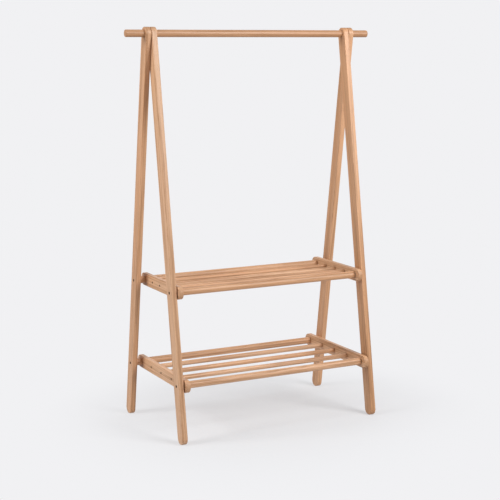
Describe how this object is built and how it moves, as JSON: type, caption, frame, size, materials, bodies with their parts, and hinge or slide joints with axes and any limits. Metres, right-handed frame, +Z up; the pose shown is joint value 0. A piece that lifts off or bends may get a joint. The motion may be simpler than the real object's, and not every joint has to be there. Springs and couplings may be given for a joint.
{
  "type": "clothes rack",
  "caption": "Free-standing A-frame clothes rack in light wood: a round hanging rail through crossed flat legs, over slatted shelves of round rods.",
  "frame": {"origin": "on the floor, under the middle of the rack", "axes": "+X to the right along the hanging rail, +Y to the rear, +Z up"},
  "size_m": [1.016, 0.5026, 1.5017],
  "materials": {
    "leg_wood": "pale straight-grained beech with a satin clear coat",
    "bar_wood": "pale straight-grained beech with a satin clear coat",
    "rod_wood": "turned pale beech with a satin clear coat",
    "dark_steel": "blackened steel, slightly worn",
    "brass": "plain machined"
  },
  "bodies": {
    "root": {"front_leg_left": "leg_wood", "front_leg_right": "leg_wood", "hanging_rail": "rod_wood", "lower_front_bolt_left": "dark_steel", "lower_front_bolt_right": "dark_steel", "lower_front_insert_left": "brass", "lower_front_insert_right": "brass", "lower_front_rod": "rod_wood", "lower_rear_bolt_left": "dark_steel", "lower_rear_bolt_right": "dark_steel", "lower_rear_insert_left": "brass", "lower_rear_insert_right": "brass", "lower_rear_rod": "rod_wood", "lower_rod_screw_left_1": "dark_steel", "lower_rod_screw_left_2": "dark_steel", "lower_rod_screw_left_3": "dark_steel", "lower_rod_screw_right_1": "dark_steel", "lower_rod_screw_right_2": "dark_steel", "lower_rod_screw_right_3": "dark_steel", "lower_shelf_bar_left": "bar_wood", "lower_shelf_bar_right": "bar_wood", "lower_spacer_left": "rod_wood", "lower_spacer_right": "rod_wood", "lower_thin_rod_1": "rod_wood", "lower_thin_rod_2": "rod_wood", "lower_thin_rod_3": "rod_wood", "lower_washer_left": "dark_steel", "lower_washer_right": "dark_steel", "rail_screw_left": "dark_steel", "rail_screw_right": "dark_steel", "rear_leg_left": "leg_wood", "rear_leg_right": "leg_wood", "upper_front_bolt_left": "dark_steel", "upper_front_bolt_right": "dark_steel", "upper_front_insert_left": "brass", "upper_front_insert_right": "brass", "upper_front_rod": "rod_wood", "upper_rear_bolt_left": "dark_steel", "upper_rear_bolt_right": "dark_steel", "upper_rear_insert_left": "brass", "upper_rear_insert_right": "brass", "upper_rear_rod": "rod_wood", "upper_rod_screw_left_1": "dark_steel", "upper_rod_screw_left_2": "dark_steel", "upper_rod_screw_left_3": "dark_steel", "upper_rod_screw_right_1": "dark_steel", "upper_rod_screw_right_2": "dark_steel", "upper_rod_screw_right_3": "dark_steel", "upper_shelf_bar_left": "bar_wood", "upper_shelf_bar_right": "bar_wood", "upper_spacer_left": "rod_wood", "upper_spacer_right": "rod_wood", "upper_thin_rod_1": "rod_wood", "upper_thin_rod_2": "rod_wood", "upper_thin_rod_3": "rod_wood", "upper_washer_left": "dark_steel", "upper_washer_right": "dark_steel"}
  },
  "joints": []
}
